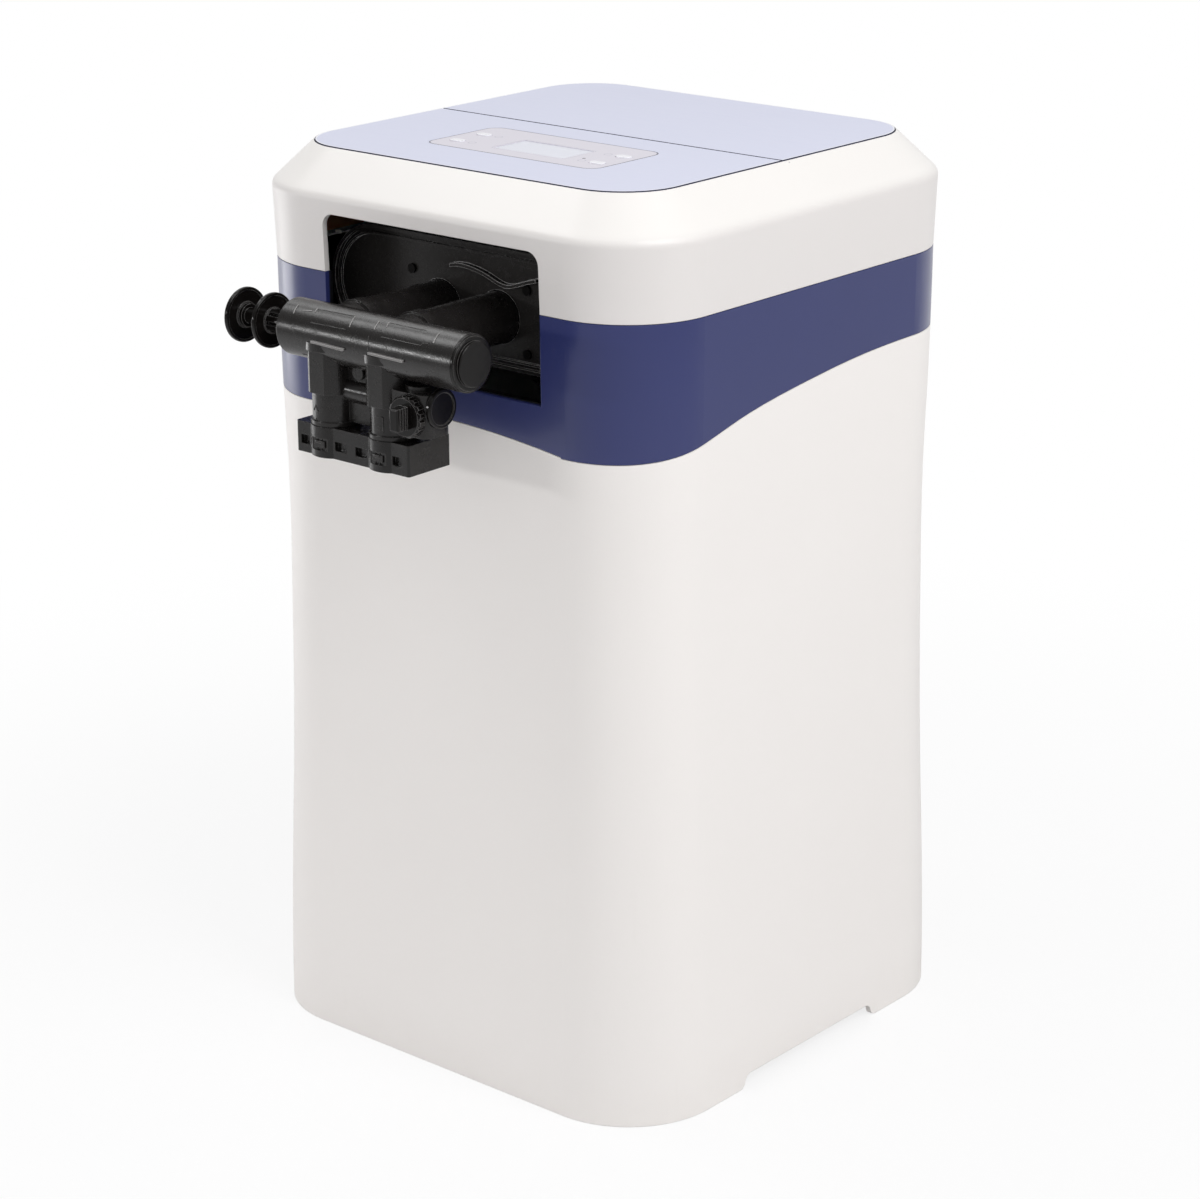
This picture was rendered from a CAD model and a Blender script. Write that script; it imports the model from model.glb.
"""Looks of the cabinet water filter: finishes of every piece, small mouldings, light and camera."""
import math
import bmesh
import bpy
from mathutils import Matrix, Vector


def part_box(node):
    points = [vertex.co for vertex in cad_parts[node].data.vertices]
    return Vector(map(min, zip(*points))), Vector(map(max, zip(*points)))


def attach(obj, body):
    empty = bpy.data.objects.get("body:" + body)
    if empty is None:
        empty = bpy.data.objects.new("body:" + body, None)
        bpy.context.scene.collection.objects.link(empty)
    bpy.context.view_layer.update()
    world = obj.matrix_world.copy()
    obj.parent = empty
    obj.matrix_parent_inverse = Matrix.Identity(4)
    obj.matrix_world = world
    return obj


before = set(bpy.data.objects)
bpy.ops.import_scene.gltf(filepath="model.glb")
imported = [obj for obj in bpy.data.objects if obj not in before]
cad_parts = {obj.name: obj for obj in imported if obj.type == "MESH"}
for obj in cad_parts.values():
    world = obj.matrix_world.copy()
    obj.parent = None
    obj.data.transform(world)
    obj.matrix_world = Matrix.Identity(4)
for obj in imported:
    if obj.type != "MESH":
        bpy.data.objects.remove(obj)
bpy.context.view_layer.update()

MM = 0.001

# Camera
CAMERA_PLACE = Vector((1.38711, -1.63577, 1.02058))
CAMERA_TURN = 40.45       # degrees from the plumbing side towards the right side
CAMERA_TILT = 18.78
CAMERA_ROLL = -0.22
LENS = 97.19
SENSOR = 36.0

# Studio
FLOOR_Z = -0.0004
FLOOR_HALF = 12.0
FLOOR_GLOW = (0.80, 1.0)      # share of plain white in the floor as seen: beside the cabinet, and far off
GLOW_REACH = (0.25, 1.1)      # metres from the cabinet where that share rises
SKY = (0.60, 0.40)            # strength of the surrounding light at the horizon and overhead
FLOOR_WHITE = (0.96, 0.96, 0.97, 1.0)
BACKDROP = (-0.649, 0.761)    # ground direction of the white backdrop, which smooth surfaces mirror
BACKDROP_WHITE = 0.8          # how bright it looks in a reflection
DARK_STUDIO = 0.18            # the same of the studio opposite
CEILING = 0.32                # and of its ceiling
SOFTBOXES = (                 # name, place, aim, size, power
    ("right_softbox", (1.5, -0.3, 2.0), (0, 0, 0.4), (1.3, 1.3), 27.0),
    ("top_softbox", (-1.35, -0.5, 2.2), (0, 0, 0.5), (0.9, 0.5), 6.0),
    ("back_softbox", (-1.3, 0.55, 1.96), (0, -0.2, 0.5), (0.9, 0.5), 3.0),
    ("left_strip", (-1.27, -1.84, 0.79), (0, -0.2, 0.5), (0.55, 0.08), 5.5),
    ("edge_light", (-1.8, -0.4, 0.22), (0, -0.1, 0.45), (0.9, 0.4), 3.5),
)

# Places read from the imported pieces
panel_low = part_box("control_fascia")[0]
panel_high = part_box("service_lid")[1]
plate_low, plate_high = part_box("control_plate")
lens_low, lens_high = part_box("display_lens")
band_low, band_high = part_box("cabinet_band")
cap_low, cap_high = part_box("bypass_end_cap")
tube_y = (cap_low.y + cap_high.y) / 2
tube_z = (cap_low.z + cap_high.z) / 2
KEYS = ("key_left_upper", "key_left_lower", "key_right_upper", "key_right_lower")

# Sizes that go with them
BAND_CORNER = 61.65 * MM
BAND_INSIDE = (-3.2 * MM, -3.7 * MM)      # where its black inside starts, from its outline
PANEL_CORNER = 41.5 * MM
PANEL_T = 5.0 * MM
PANEL_RIM = (-1.3 * MM, -0.9 * MM)        # where the panels' pale rim starts
PANEL_SEAT = (1.0 * MM, 0.7 * MM)         # and where the cover's dark seat for them ends
PLATE_CORNER = 10.0 * MM
LENS_CORNER = 1.5 * MM
SHROUD_SHADE_Z = 0.564                    # above this level the housing's edges are in the dark
COVER_EDGE = (0.590, 0.598)               # between these levels the cover's wall turns into its chamfer


class Signal:
    """An output socket; sums and products of signals add the Math nodes that they need."""

    def __init__(self, finish, socket):
        self.finish = finish
        self.socket = socket

    def maths(self, operation, *values):
        return self.finish.node("ShaderNodeMath", {"operation": operation}, dict(enumerate(values)))

    def __add__(self, other):
        return self.maths("ADD", self, other)

    def __sub__(self, other):
        return self.maths("SUBTRACT", self, other)

    def __rsub__(self, other):
        return self.maths("SUBTRACT", other, self)

    def __mul__(self, other):
        return self.maths("MULTIPLY", self, other)

    __radd__ = __add__
    __rmul__ = __mul__

    def __abs__(self):
        return self.maths("ABSOLUTE", self)

    def least(self, other):
        return self.maths("MINIMUM", self, other)

    def most(self, other):
        return self.maths("MAXIMUM", self, other)

    def wave(self):
        return self.maths("SINE", self)

    def root(self):
        return self.maths("SQRT", self)

    def rises(self, low, high):
        """0 below low, 1 above high, smooth between; it falls where low is above high."""
        return self.finish.node("ShaderNodeMapRange", {"interpolation_type": "SMOOTHSTEP"},
                                {"Value": self, "From Min": low, "From Max": high})


class Finish:
    """A material, or the surrounding light, and the nodes that make it."""

    def __init__(self, name, kind="materials", coordinates="Object"):
        self.owner = getattr(bpy.data, kind).new(name)
        self.owner.use_nodes = True
        self.tree = self.owner.node_tree
        self.tree.nodes.clear()
        self.place = self.node("ShaderNodeTexCoord", {}, {}, coordinates)

    def node(self, kind, settings, values, output=0):
        """Add a node: settings first, then the value or link of each named or numbered socket."""
        made = self.tree.nodes.new(kind)
        for name, value in settings.items():
            setattr(made, name, value)
        for name, value in values.items():
            if isinstance(value, Signal):
                self.tree.links.new(value.socket, made.inputs[name])
            else:
                made.inputs[name].default_value = value
        return Signal(self, made.outputs[output]) if len(made.outputs) else None

    def axes(self):
        """The three coordinates of a point, in metres."""
        outputs = self.node("ShaderNodeSeparateXYZ", {}, {0: self.place}).socket.node.outputs
        return [Signal(self, outputs[i]) for i in range(3)]

    def rays(self):
        """1 where the camera sees a place, directly or through glass, and 1 where it is mirrored."""
        outputs = self.node("ShaderNodeLightPath", {}, {}).socket.node.outputs
        direct, through, mirrored = (Signal(self, outputs["Is %s Ray" % kind])
                                     for kind in ("Camera", "Transmission", "Glossy"))
        return direct.most(through), mirrored

    def noise(self, size, detail=2.0, stretch=(1.0, 1.0, 1.0)):
        """Cloudy noise from 0 to 1 with features of this size in metres."""
        scaled = self.node("ShaderNodeMapping", {}, {0: self.place, "Scale": stretch})
        return self.node("ShaderNodeTexNoise", {}, {"Vector": scaled, "Scale": 1.0 / size, "Detail": detail})

    def cells(self, size, feature="F1", output="Distance"):
        return self.node("ShaderNodeTexVoronoi", {"feature": feature},
                         {"Vector": self.place, "Scale": 1.0 / size}, output)

    def mix(self, share, first, second):
        """Colour from first to second."""
        colours = [c if isinstance(c, Signal) else (*c, 1.0) for c in (first, second)]
        return self.node("ShaderNodeMix", {"data_type": "RGBA"}, {0: share, 6: colours[0], 7: colours[1]}, 2)

    def tinted(self, colour, share):
        """A colour made lighter or darker by a signal around 1."""
        return self.node("ShaderNodeVectorMath", {"operation": "SCALE"}, {0: colour, "Scale": share})

    def rounded(self, radius):
        """Normal that turns smoothly over sharp edges, and how near an edge a point is."""
        normal = self.node("ShaderNodeBevel", {"samples": 4}, {"Radius": radius})
        true = self.node("ShaderNodeNewGeometry", {}, {}, "Normal")
        along = self.node("ShaderNodeVectorMath", {"operation": "DOT_PRODUCT"}, {0: normal, 1: true}, "Value")
        return normal, along.rises(0.995, 0.90)

    def bump(self, height, depth, normal=None):
        values = {"Height": height, "Distance": depth}
        if normal:
            values["Normal"] = normal
        return self.node("ShaderNodeBump", {}, values)

    def surface(self, **values):
        """Finish the material with a principled surface; names have _ for a space."""
        named = {name.replace("_", " "): value for name, value in values.items()}
        if isinstance(named["Base Color"], tuple):
            named["Base Color"] = (*named["Base Color"], 1.0)
        shader = self.node("ShaderNodeBsdfPrincipled", {}, named)
        self.node("ShaderNodeOutputMaterial", {}, {"Surface": shader})
        return self.owner


def linear(red, green, blue):
    """A colour of 0 to 255 as the shader takes it."""
    return tuple(((c / 255 + 0.055) / 1.055) ** 2.4 for c in (red, green, blue))


# Finishes of the cabinet

SEAT_BLUE = linear(44, 47, 82)      # parting walls round the panels


def moulded(name, colour, roughness, grain=0.0007, depth=0.00002, cloud=0.02):
    """Moulded plastic: fine spark grain, faint flow clouds, an uneven sheen and rubbed edges."""
    f = Finish(name)
    normal, edges = f.rounded(0.0006)
    grains = f.noise(grain, 2.0)
    shade = 1.0 + (f.noise(0.09, 3.0) - 0.5) * (2 * cloud) + (grains - 0.5) * cloud + edges * 0.1
    sheen = roughness + (f.noise(0.03, 3.0) - 0.5) * 0.1 - edges * 0.1
    return f.surface(Base_Color=f.tinted(linear(*colour), shade), Roughness=sheen,
                     Normal=f.bump(grains, depth, normal))


def cabinet_shell():
    """Warm white shell: fine grain, a little dust at the foot and faint upright scuffs."""
    f = Finish("cabinet_shell_plastic")
    z = f.axes()[2]
    normal, edges = f.rounded(0.0008)
    grains = f.noise(0.0008, 2.0)
    dust = z.rises(0.05, 0.0) * f.noise(0.02, 4.0)
    scuffs = f.noise(0.012, 4.0, (1.0, 1.0, 0.12)).rises(0.66, 0.80) * z.rises(0.30, 0.02)
    shade = 1.0 + (f.noise(0.14, 3.0) - 0.5) * 0.025 + (grains - 0.5) * 0.03
    colour = f.tinted(linear(247, 243, 240), shade)
    colour = f.mix(dust * 0.08 + scuffs * 0.05, colour, linear(200, 191, 178))
    sheen = 0.44 + (f.noise(0.04, 3.0) - 0.5) * 0.12 + dust * 0.15 - edges * 0.12
    return f.surface(Base_Color=colour, Roughness=sheen, Normal=f.bump(grains, 0.00003, normal))


def outside_rounded(x, y, low, high, radius):
    """Distance outside a rectangle with round corners, negative inside."""
    centre, half = (low + high) / 2, (high - low) / 2
    out_x = abs(x - centre.x) - (half.x - radius)
    out_y = abs(y - centre.y) - (half.y - radius)
    far_x, far_y = out_x.most(0.0), out_y.most(0.0)
    return (far_x * far_x + far_y * far_y).root() + out_x.most(out_y).least(0.0) - radius


def cover_plastic():
    """Cover in a slightly greyer white; its upper edges are polished, its seat for the panels is dark."""
    f = Finish("cover_plastic")
    x, y, z = f.axes()
    normal, edges = f.rounded(0.0008)
    grains = f.noise(0.0008, 2.0)
    worn = z.rises(*COVER_EDGE)
    shade = 1.0 + (f.noise(0.12, 3.0) - 0.5) * 0.02 + (grains - 0.5) * 0.02
    sheen = 0.40 - worn * 0.06 + (f.noise(0.04, 3.0) - 0.5) * 0.1 - edges * 0.1
    colour = f.mix(worn, linear(232, 228, 226), linear(247, 244, 241))
    seat = outside_rounded(x, y, panel_low, panel_high, PANEL_CORNER).rises(*PANEL_SEAT)
    colour = f.mix(seat * z.rises(0.600, 0.606), colour, SEAT_BLUE)
    return f.surface(Base_Color=f.tinted(colour, shade), Roughness=sheen,
                     Normal=f.bump(grains, 0.00002, normal))


def panel_plastic():
    """Pale blue top with a satin surface, fine wipe marks, a paler rim and dark side walls."""
    f = Finish("panel_plastic")
    x, y, z = f.axes()
    normal, edges = f.rounded(0.0006)
    wipes = f.noise(0.004, 4.0, (0.12, 1.0, 1.0))
    shade = 1.0 + (f.noise(0.1, 2.0) - 0.5) * 0.02 + edges * 0.05
    rim = outside_rounded(x, y, panel_low, panel_high, PANEL_CORNER).rises(*PANEL_RIM)
    colour = f.mix(rim * 0.7, f.tinted(linear(214, 217, 238), shade), linear(246, 247, 252))
    below = panel_high.z - z
    wall = below.rises(0.02 * MM, 0.12 * MM) * below.rises(PANEL_T - 0.1 * MM, PANEL_T - 0.5 * MM)
    colour = f.mix(wall, colour, SEAT_BLUE)
    return f.surface(Base_Color=colour, Roughness=0.34 + (wipes - 0.5) * 0.12,
                     Normal=f.bump(wipes, 0.000006, normal))


def plate_overlay():
    """Printed overlay: pale grey, a thin border line, a window frame and a ring beside each key."""
    f = Finish("plate_overlay")
    x, y = f.axes()[:2]
    border = outside_rounded(x, y, plate_low, plate_high, PLATE_CORNER).rises(-1.1 * MM, -0.5 * MM)
    frame_line = abs(outside_rounded(x, y, lens_low, lens_high, LENS_CORNER) - 1.6 * MM)
    colour = f.mix(f.noise(0.02, 3.0) * 0.3, linear(217, 213, 224), linear(223, 220, 230))
    for key in KEYS:
        low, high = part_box(key)
        spot = (low + high) / 2
        inward = 13.0 * MM if spot.x < (plate_low.x + plate_high.x) / 2 else -13.0 * MM
        dx, dy = x - (spot.x + inward), y - spot.y
        ring = abs((dx * dx + dy * dy).root() - 2.6 * MM)
        colour = f.mix(ring.rises(0.55 * MM, 0.25 * MM) * 0.35, colour, linear(130, 130, 156))
    colour = f.mix(frame_line.rises(0.5 * MM, 0.2 * MM) * 0.4, colour, linear(150, 150, 170))
    colour = f.mix(border * 0.9, colour, linear(84, 84, 104))
    return f.surface(Base_Color=colour, Roughness=0.3, Normal=f.bump(f.noise(0.0008, 2.0), 0.000004))


def display_glass():
    """Milky window with a few smudges; the panel below shows faintly through it."""
    f = Finish("display_glass")
    smudge = f.noise(0.012, 4.0).rises(0.5, 0.8)
    return f.surface(Base_Color=linear(240, 242, 252), Roughness=0.06 + smudge * 0.1,
                     Alpha=0.85 + smudge * 0.06, IOR=1.45)


def display_panel():
    """Liquid crystal layer: pale, with faint blank segments behind the glass."""
    f = Finish("display_panel")
    x, y = f.axes()[:2]
    rows = (y * (2 * math.pi / (7.9 * MM))).wave().rises(0.2, 0.9)
    columns = (x * (2 * math.pi / (6.0 * MM))).wave().rises(-0.6, 0.2)
    colour = f.mix(rows * columns * 0.08, linear(232, 233, 243), linear(190, 196, 214))
    return f.surface(Base_Color=colour, Roughness=0.5, Emission_Color=(0.90, 0.91, 1.0, 1.0),
                     Emission_Strength=0.16)


def band_plastic():
    """Navy satin plastic with a fine grain and faint flow clouds, black on the inside."""
    f = Finish("band_plastic")
    x, y = f.axes()[:2]
    inside = outside_rounded(x, y, band_low, band_high, BAND_CORNER).rises(*BAND_INSIDE)
    normal, edges = f.rounded(0.0006)
    grains = f.noise(0.0007, 2.0)
    shade = 1.0 + (f.noise(0.08, 3.0) - 0.5) * 0.08 + (grains - 0.5) * 0.08 + edges * 0.3
    colour = f.mix(inside, f.tinted(linear(43, 51, 106), shade), linear(16, 16, 18))
    return f.surface(Base_Color=colour, Roughness=0.36 + (f.noise(0.03, 3.0) - 0.5) * 0.1,
                     Normal=f.bump(grains, 0.00002, normal), Coat_Weight=0.4, Coat_Roughness=0.2)


# Finishes of the plumbing and the works

def black_plastic(name, shade=28, roughness=0.25, grain=0.0010, worn=0.35, rub=90, mirror=0.5, top=None):
    """Glass-filled black plastic: open grain, pale flow lines, and rubbed, shiny edges up to a level."""
    f = Finish(name)
    normal, edges = f.rounded(0.0006)
    if top:
        edges = edges * f.axes()[2].rises(top, top - 0.004)
    grains = f.noise(grain, 3.0)
    streaks = f.noise(0.010, 5.0, (0.35, 1.0, 1.0)).rises(0.55, 0.80)
    pale = linear(shade + 20, shade + 18, shade + 17)
    colour = f.mix(streaks * 0.3, linear(shade + 3, shade + 1, shade), pale)
    colour = f.mix(edges * worn, colour, linear(rub, rub - 2, rub - 3))
    sheen = roughness + (f.noise(0.006, 4.0) - 0.5) * 0.16 + (grains - 0.5) * 0.15 - edges * 0.1
    return f.surface(Base_Color=colour, Roughness=sheen, Specular_IOR_Level=mirror,
                     Normal=f.bump(grains, grain * 0.05, normal))


def wound_fibre():
    """Glass fibre tank: crossing helical bands under resin."""
    f = Finish("wound_fibre")
    x, y, z = f.axes()
    turn = f.node("ShaderNodeMath", {"operation": "ARCTAN2"}, {0: y, 1: x})
    bands = (turn * 9.0 + z * 260.0).wave() * (turn * 9.0 - z * 260.0).wave()
    fibres = f.noise(0.0012, 3.0, (1.0, 1.0, 3.0))
    share = bands.rises(-0.6, 0.6) * 0.5 + fibres * 0.2
    return f.surface(Base_Color=f.mix(share, linear(38, 52, 84), linear(70, 88, 124)), Roughness=0.35,
                     Coat_Weight=0.4, Coat_Roughness=0.15, Normal=f.bump(bands + fibres * 0.3, 0.0003))


def metal(name, colour, roughness):
    """Drawn metal with fine turning lines."""
    f = Finish(name)
    normal, edges = f.rounded(0.0003)
    lines = f.noise(0.0012, 4.0, (1.0, 8.0, 1.0))
    return f.surface(Base_Color=f.tinted(linear(*colour), 1.0 + (lines - 0.5) * 0.15), Metallic=1.0,
                     Roughness=roughness + (lines - 0.5) * 0.15, Normal=f.bump(lines, 0.000008, normal))


def circuit_board():
    """Green board with paler tracks and tinned pads."""
    f = Finish("circuit_board")
    tracks = f.cells(0.009, "DISTANCE_TO_EDGE").rises(0.09, 0.05)
    pads = f.cells(0.006).rises(0.16, 0.12)
    colour = f.mix(tracks * 0.6, linear(14, 84, 48), linear(44, 128, 74))
    colour = f.mix(pads, colour, linear(200, 198, 190))
    return f.surface(Base_Color=colour, Roughness=0.35, Metallic=pads * 0.8, Normal=f.bump(tracks, 0.00003))


def grains_of(name, size, dark, pale, roughness):
    """A bed of loose grains."""
    f = Finish(name)
    tone = f.node("ShaderNodeRGBToBW", {}, {0: f.cells(size, "F1", "Color")})
    gap = f.cells(size)
    colour = f.mix(gap.rises(0.35, 0.75) * 0.8, f.mix(tone, linear(*dark), linear(*pale)), linear(12, 12, 12))
    return f.surface(Base_Color=colour, Roughness=roughness, Normal=f.bump(1.0 - gap, size * 0.5))


def rubber():
    """Black rubber with a grey bloom."""
    f = Finish("rubber")
    bloom = f.noise(0.008, 4.0).rises(0.45, 0.75)
    colour = f.mix(bloom * 0.4, linear(28, 28, 29), linear(52, 51, 50))
    return f.surface(Base_Color=colour, Roughness=0.62 + bloom * 0.15,
                     Normal=f.bump(f.noise(0.0007), 0.00004))


plastic_black = black_plastic("black_plastic")
plastic_block = black_plastic("black_plastic_block", 16)
plastic_inner = black_plastic("black_plastic_inside", 44, 0.26, worn=1.0, rub=250, mirror=0.25)
plastic_shroud = black_plastic("black_plastic_shroud", 46, 0.26, worn=1.0, rub=255, mirror=0.25,
                               top=SHROUD_SHADE_Z)
plastic_gloss = black_plastic("black_plastic_smooth", 13, 0.14, 0.0002, worn=0.45, rub=150, mirror=0.3)
plastic_bright = black_plastic("black_plastic_rubbed", 120, 0.2, worn=0.8, rub=200)
plastic_dull = black_plastic("black_plastic_dull", 10, 0.4, worn=0.1, mirror=0.1)
plastic_white = moulded("white_plastic", (226, 224, 216), 0.42, cloud=0.04)
plastic_grey = moulded("grey_plastic", (150, 150, 152), 0.45, cloud=0.05)
key_finish = moulded("key_plastic", (240, 240, 246), 0.22, depth=0.00001, cloud=0.01)
pad_finish = moulded("wall_pad_foam", (255, 190, 150), 0.7, grain=0.0015, depth=0.00008, cloud=0.06)
bright_steel = metal("bright_steel", (196, 196, 198), 0.28)
rubber_black = rubber()

FINISHES = {
    "cabinet_body": cabinet_shell(), "cabinet_band": band_plastic(), "top_cover": cover_plastic(),
    "control_plate": plate_overlay(), "display_lens": display_glass(), "display_module": display_panel(),
    "control_board": circuit_board(), "pressure_tank": wound_fibre(), "shroud_screws": plastic_dull,
    "gravel_bed": grains_of("washed_gravel", 0.0045, (120, 108, 92), (205, 196, 180), 0.55),
    "carbon_bed": grains_of("carbon_grains", 0.0018, (14, 14, 15), (48, 47, 47), 0.7),
    "status_lamp": moulded("lamp_lens", (40, 38, 44), 0.15, depth=0.000005),
}
GROUPS = (
    (panel_plastic(), ("service_lid", "control_fascia")),
    (key_finish, KEYS),
    (plastic_black, ("bypass_body", "spool_gland", "drain_elbow", "drain_nut")),
    (plastic_block, ("lock_block",)),
    (plastic_inner, ("valve_body", "end_plug")),
    (plastic_shroud, ("valve_shroud",)),
    (plastic_gloss, ("bypass_end_cap", "bypass_spool", "mixing_knob", "mixing_cap")),
    (plastic_white, ("riser_tube", "seal_spacers", "drive_gear", "motor_pinion", "meter_turbine")),
    (plastic_grey, ("neck_ring", "lower_distributor", "upper_distributor", "valve_piston", "gear_housing",
                    "gear_cover", "meter_cage")),
    (bright_steel, ("hinge_pins", "board_screws", "piston_rod", "motor_shaft", "drive_screws",
                    "drive_motor")),
    (rubber_black, ("tank_boot", "tank_seal", "bore_seals", "port_seals", "end_cap_seal", "spool_seals")),
)
for finish, names in GROUPS:
    FINISHES.update(dict.fromkeys(names, finish))
for name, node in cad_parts.items():
    node.data.materials.clear()
    node.data.materials.append(FINISHES[name])


# Small mouldings that the photograph shows on the black pieces

def new_object(name, shape, finish):
    """A mesh object of a finished shape, with its faces turned outwards."""
    bmesh.ops.recalc_face_normals(shape, faces=shape.faces)
    mesh = bpy.data.meshes.new(name)
    shape.to_mesh(mesh)
    shape.free()
    made = bpy.data.objects.new(name, mesh)
    bpy.context.scene.collection.objects.link(made)
    mesh.materials.append(finish)
    return made


def dress(name, shape, finish):
    """Put a finished shape into the scene as a piece that stands still with the cabinet."""
    piece = new_object(name, shape, finish)
    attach(piece, "cabinet")


def bar(shape, size, matrix):
    """A small bar with broken edges; its size is in mm."""
    size = [v * MM for v in size]
    cube = bmesh.ops.create_cube(shape, size=1.0, matrix=matrix @ Matrix.Diagonal((*size, 1.0)))
    edges = {e for v in cube["verts"] for e in v.link_edges}
    bmesh.ops.bevel(shape, geom=list(edges), offset=0.22 * min(size), offset_type="OFFSET", affect="EDGES",
                    segments=2, profile=0.5, material=-1)


# Sizes of the bypass in mm; angles on the tube in degrees above level
TUBE_R = 18.5
LEG_R = 14.8
LEG_X = 25.4
LEG_TOPS = (              # name, levels, axis in front of the tube's, flat front, cut along the tube's wall
    ("leg_pads", 488.0, 516.0, 2.8, 16.2, (45, 17.0)),
    ("leg_collars", 516.0, 521.5, 4.8, None, (10, 16.9)),
)
TICK_LINE = (0.6, 0.7)    # width and thickness of a raised line, half of which stands proud
FRAME_LINE = (0.45, 0.5)
PARTING_LINE = (0.45, 0.3)
LIP_LINE = (1.6, 3.6)
TICKS = (                 # each line from one point on the tube to another: X, angle
    ((-47.7, 63.7), (-46.6, 41.5)), ((-40.5, 52.0), (-33.5, 55.5)), ((-30.8, 64.7), (-30.5, 54.6)),
    ((1.9, 64.7), (3.3, 38.6)), ((22.5, 65.2), (23.4, 44.3)), ((30.2, 67.5), (31.4, 55.3)),
    ((72.6, 66.2), (73.6, 42.6)),
)
FRAMES = (
    ((-30.5, 63.6), (1.2, 65.2)), ((-29.3, 31.0), (0.7, 31.9)), ((31.1, 67.8), (62.0, 67.5)),
    ((31.4, 32.6), (64.7, 32.5)), ((64.7, 32.5), (65.7, 38.2)), ((65.7, 38.2), (69.7, 39.1)),
)
PARTING = ((21.4, 29.0), (22.4, 2.0))
LIPS = (((-26.0, -4.5), (1.8, -7.0)), ((23.8, -2.5), (52.6, -4.0)))
CHEVRON_LEVELS = (478.0, 469.5)
CHEVRON_TURN = -14        # degrees round the leg
CHEVRON_SLOPE = 33
LEG_FRAME = (             # bars of the frame on the right leg: X and Z from its middle, size
    (0, 7.0, (7.0, 0.6, 0.6)), (-3.5, 2.0, (0.6, 0.6, 10.0)), (3.5, 2.0, (0.6, 0.6, 10.0)),
)
LEG_FRAME_PLACE = (LEG_X + 1.0, 475.0)
SLOT_LEVEL = 455.3
WALL_PAD = ((-170.9, -78.0, 551.5), (0.6, 38.0, 11.0))       # place, size
RIM_TAB = ((-114.5, -140.3, 561.0), (5.0, 1.2, 2.0))


def on_tube(x, angle):
    """Frame on the tube's surface: local X along the tube, local Y round it, local Z outwards."""
    turn = Matrix.Rotation(math.radians(90 - angle), 4, "X")
    place = Matrix.Translation((x * MM, tube_y, tube_z))
    return place @ turn @ Matrix.Translation((0, 0, TUBE_R * MM))


def tube_line(shape, start, end, width, thick):
    """Raised line on the tube between two points, in short bars that follow the curve."""
    (x0, a0), (x1, a1) = start, end
    along, round_tube = x1 - x0, math.radians(a1 - a0) * TUBE_R
    count = max(1, round(abs(a1 - a0) / 8))
    length = math.hypot(along, round_tube) / count + 0.3 * width
    for i in range(count):
        share = (i + 0.5) / count
        place = on_tube(x0 + (x1 - x0) * share, a0 + (a1 - a0) * share)
        turn = Matrix.Rotation(math.atan2(round_tube, along), 4, "Z")
        bar(shape, (length, width, thick), place @ turn)


def cut_away(shape, place, normal):
    """Cut off what lies beyond a plane and close the cut."""
    parts = shape.verts[:] + shape.edges[:] + shape.faces[:]
    cut = bmesh.ops.bisect_plane(shape, geom=parts, dist=1e-6, plane_co=place, plane_no=normal,
                                 clear_outer=True)
    rim = [e for e in cut["geom_cut"] if isinstance(e, bmesh.types.BMEdge)]
    bmesh.ops.edgeloop_fill(shape, edges=rim)


def leg_tops():
    """Upper ends of the legs, which stand a little in front of the tube; the pads are flat in front."""
    for name, low, high, forward, flat, (slope, reach) in LEG_TOPS:
        shape = bmesh.new()
        for s in (-1, 1):
            place = Matrix.Translation((s * LEG_X * MM, tube_y - forward * MM, (low + high) / 2 * MM))
            bmesh.ops.create_cone(shape, cap_ends=True, cap_tris=False, segments=72, radius1=LEG_R * MM,
                                  radius2=LEG_R * MM, depth=(high - low) * MM, matrix=place)
        if flat:
            cut_away(shape, (0, tube_y - flat * MM, 0), (0, -1, 0))
        inwards = Vector((0, math.cos(math.radians(slope)), math.sin(math.radians(slope))))
        cut_away(shape, Vector((0, tube_y, tube_z)) - inwards * reach * MM, inwards)
        dress(name, shape, plastic_black)


def tube_marks():
    """Blank frames, their ticks, the parting line and the lips over the legs."""
    ticks, frames, lips = bmesh.new(), bmesh.new(), bmesh.new()
    for line in TICKS:
        tube_line(ticks, *line, *TICK_LINE)
    dress("tube_ticks", ticks, plastic_bright)
    for line in FRAMES:
        tube_line(frames, *line, *FRAME_LINE)
    tube_line(frames, *PARTING, *PARTING_LINE)
    dress("tube_frames", frames, plastic_gloss)
    for line in LIPS:
        tube_line(lips, *line, *LIP_LINE)
    dress("leg_lips", lips, plastic_bright)


def leg_marks():
    """Raised chevrons that show the flow on one leg, and a small frame on the other."""
    shape = bmesh.new()
    turn = Matrix.Rotation(math.radians(CHEVRON_TURN), 4, "Z")
    for level in CHEVRON_LEVELS:
        leg = Matrix.Translation((-LEG_X * MM, tube_y, level * MM)) @ turn
        for s in (-1, 1):
            place = leg @ Matrix.Translation((s * 1.3 * MM, -LEG_R * MM, 0))
            bar(shape, (0.6, 0.6, 4.6), place @ Matrix.Rotation(-s * math.radians(CHEVRON_SLOPE), 4, "Y"))
    middle_x, middle_z = LEG_FRAME_PLACE
    for dx, dz, size in LEG_FRAME:
        sunk = LEG_R - abs(dx) * 0.13
        bar(shape, size, Matrix.Translation(((middle_x + dx) * MM, tube_y - sunk * MM, (middle_z + dz) * MM)))
    dress("leg_marks", shape, plastic_black)


def slot_tabs():
    """A latch tab inside each wide slot of the lock block, and a lip under it."""
    shape = bmesh.new()
    for s in (-1, 1):
        place = Matrix.Translation((s * LEG_X * MM, tube_y - (LEG_R + 0.6) * MM, SLOT_LEVEL * MM))
        bar(shape, (9.0, 0.9, 4.4), place)
        bar(shape, (5.5, 1.4, 1.0), place @ Matrix.Translation((0, -0.3 * MM, 1.2 * MM)))
    dress("latch_tabs", shape, plastic_black)


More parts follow.
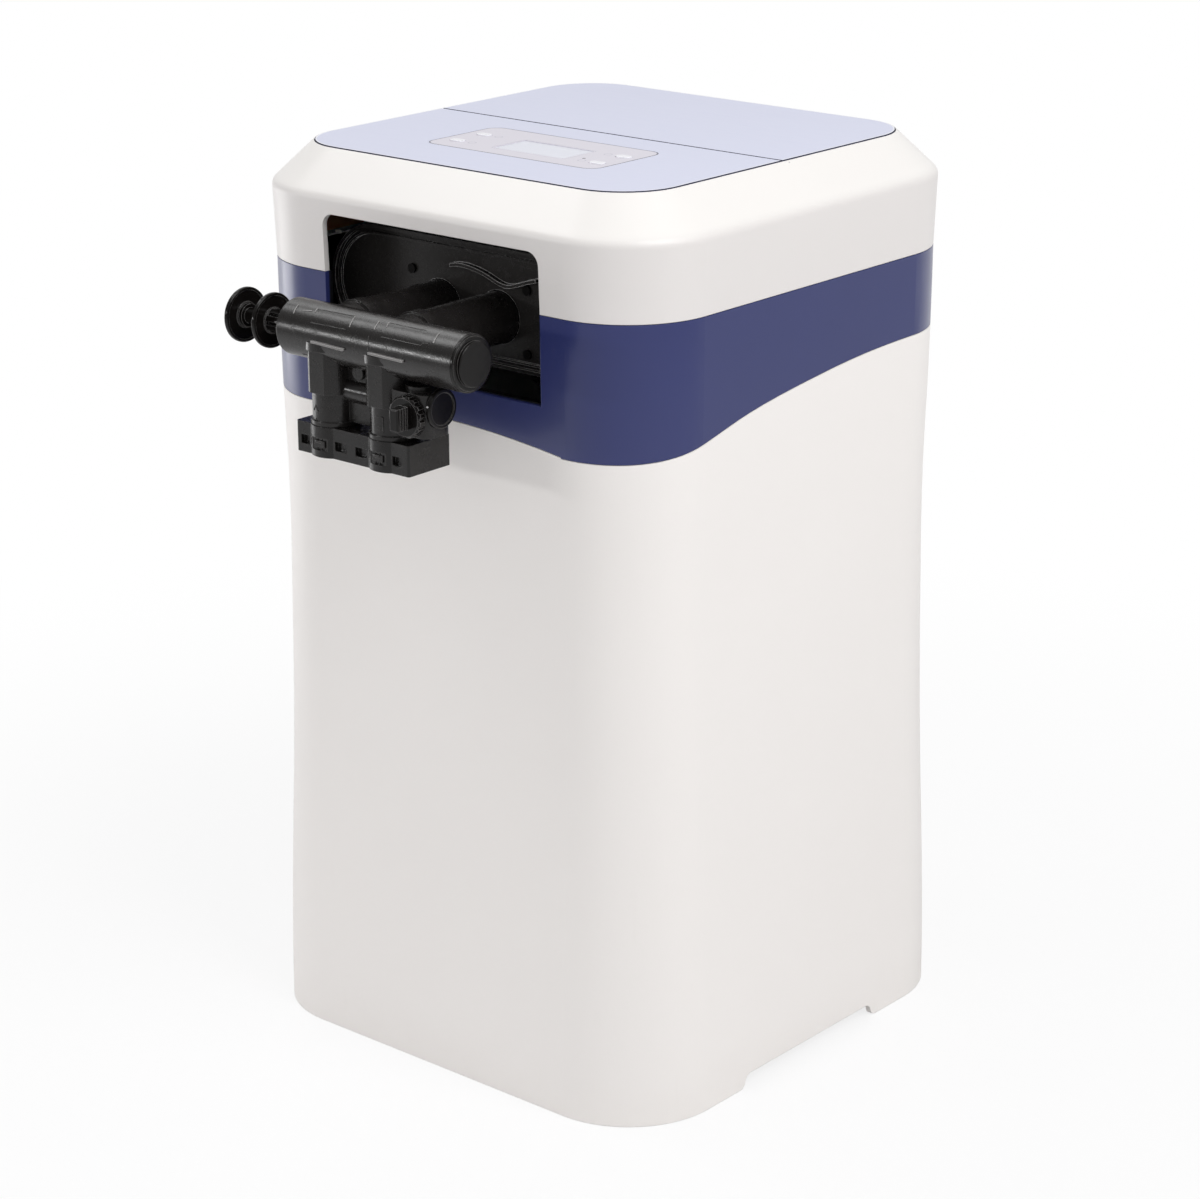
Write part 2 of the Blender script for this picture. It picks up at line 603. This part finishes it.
def inside_pieces():
    """Blank pad on the cover's inner wall, and a white tab on the housing's rim."""
    for name, (place, size), finish, slot in (("wall_pad", WALL_PAD, pad_finish, "rubber"),
                                              ("rim_tab", RIM_TAB, plastic_white, "white_plastic")):
        shape = bmesh.new()
        bar(shape, size, Matrix.Translation([v * MM for v in place]))
        dress(name, shape, finish)


leg_tops()
tube_marks()
leg_marks()
slot_tabs()
inside_pieces()


# Floor, light and camera

def floor_finish():
    """White floor that keeps the object's shadow and a faint reflection."""
    f = Finish("floor_white")
    x, y = f.axes()[:2]
    seen, mirrored = f.rays()
    far = (x * x + y * y).root().rises(*GLOW_REACH)
    behind = (x * BACKDROP[0] + y * BACKDROP[1]).rises(0.4, 1.2)
    glow = seen * (FLOOR_GLOW[0] + far * (FLOOR_GLOW[1] - FLOOR_GLOW[0]))
    glow = glow.most(behind * mirrored)
    plain = f.node("ShaderNodeEmission", {}, {"Strength": 1.0})
    lit = f.node("ShaderNodeBsdfPrincipled", {}, {"Base Color": FLOOR_WHITE, "Roughness": 0.25})
    both = f.node("ShaderNodeMixShader", {}, {0: glow, 1: lit, 2: plain})
    f.node("ShaderNodeOutputMaterial", {}, {"Surface": both})
    return f.owner


def floor():
    shape = bmesh.new()
    bmesh.ops.create_grid(shape, x_segments=1, y_segments=1, size=FLOOR_HALF,
                          matrix=Matrix.Translation((0, 0, FLOOR_Z)))
    new_object("floor", shape, floor_finish())


def softbox(name, place, aim, size, power):
    """A rectangular lamp that no view shows."""
    lamp = bpy.data.lights.new(name, "AREA")
    lamp.shape = "RECTANGLE"
    lamp.size, lamp.size_y = size
    lamp.energy = power
    box = bpy.data.objects.new(name, lamp)
    box.location = place
    box.visible_camera = False
    box.rotation_euler = (Vector(place) - Vector(aim)).to_track_quat("Z", "Y").to_euler()
    bpy.context.scene.collection.objects.link(box)


def sky():
    """Surrounding light, a little stronger near the horizon; white where it is seen or mirrored."""
    f = Finish("studio", "worlds", "Generated")
    x, y, z = f.axes()
    seen, mirrored = f.rays()
    strength = SKY[0] + z.rises(0.0, 0.9) * (SKY[1] - SKY[0])
    backdrop = (x * BACKDROP[0] + y * BACKDROP[1]).rises(0.3, 0.9)
    reflection = DARK_STUDIO + backdrop * (BACKDROP_WHITE - DARK_STUDIO)
    reflection = reflection.most(z.rises(0.25, 0.60) * CEILING)
    strength = strength + seen * (1.0 - strength) + mirrored * (reflection - strength)
    back = f.node("ShaderNodeBackground", {}, {"Color": (1, 1, 1, 1), "Strength": strength})
    f.node("ShaderNodeOutputWorld", {}, {"Surface": back})
    bpy.context.scene.world = f.owner


def camera():
    lens = bpy.data.cameras.new("camera")
    lens.lens = LENS
    lens.sensor_width = SENSOR
    eye = bpy.data.objects.new("camera", lens)
    turn, tilt, roll = (math.radians(a) for a in (CAMERA_TURN, CAMERA_TILT, CAMERA_ROLL))
    back = Vector((math.sin(turn) * math.cos(tilt), -math.cos(turn) * math.cos(tilt), math.sin(tilt)))
    right = (-back).cross(Vector((0, 0, 1))).normalized()
    up = right.cross(-back)
    facing = Matrix((right, up, back)).transposed() @ Matrix.Rotation(roll, 3, "Z")
    eye.matrix_world = Matrix.Translation(CAMERA_PLACE) @ facing.to_4x4()
    bpy.context.scene.collection.objects.link(eye)
    bpy.context.scene.camera = eye


floor()
sky()
for box in SOFTBOXES:
    softbox(*box)
camera()
bpy.context.scene.view_settings.view_transform = "Standard"
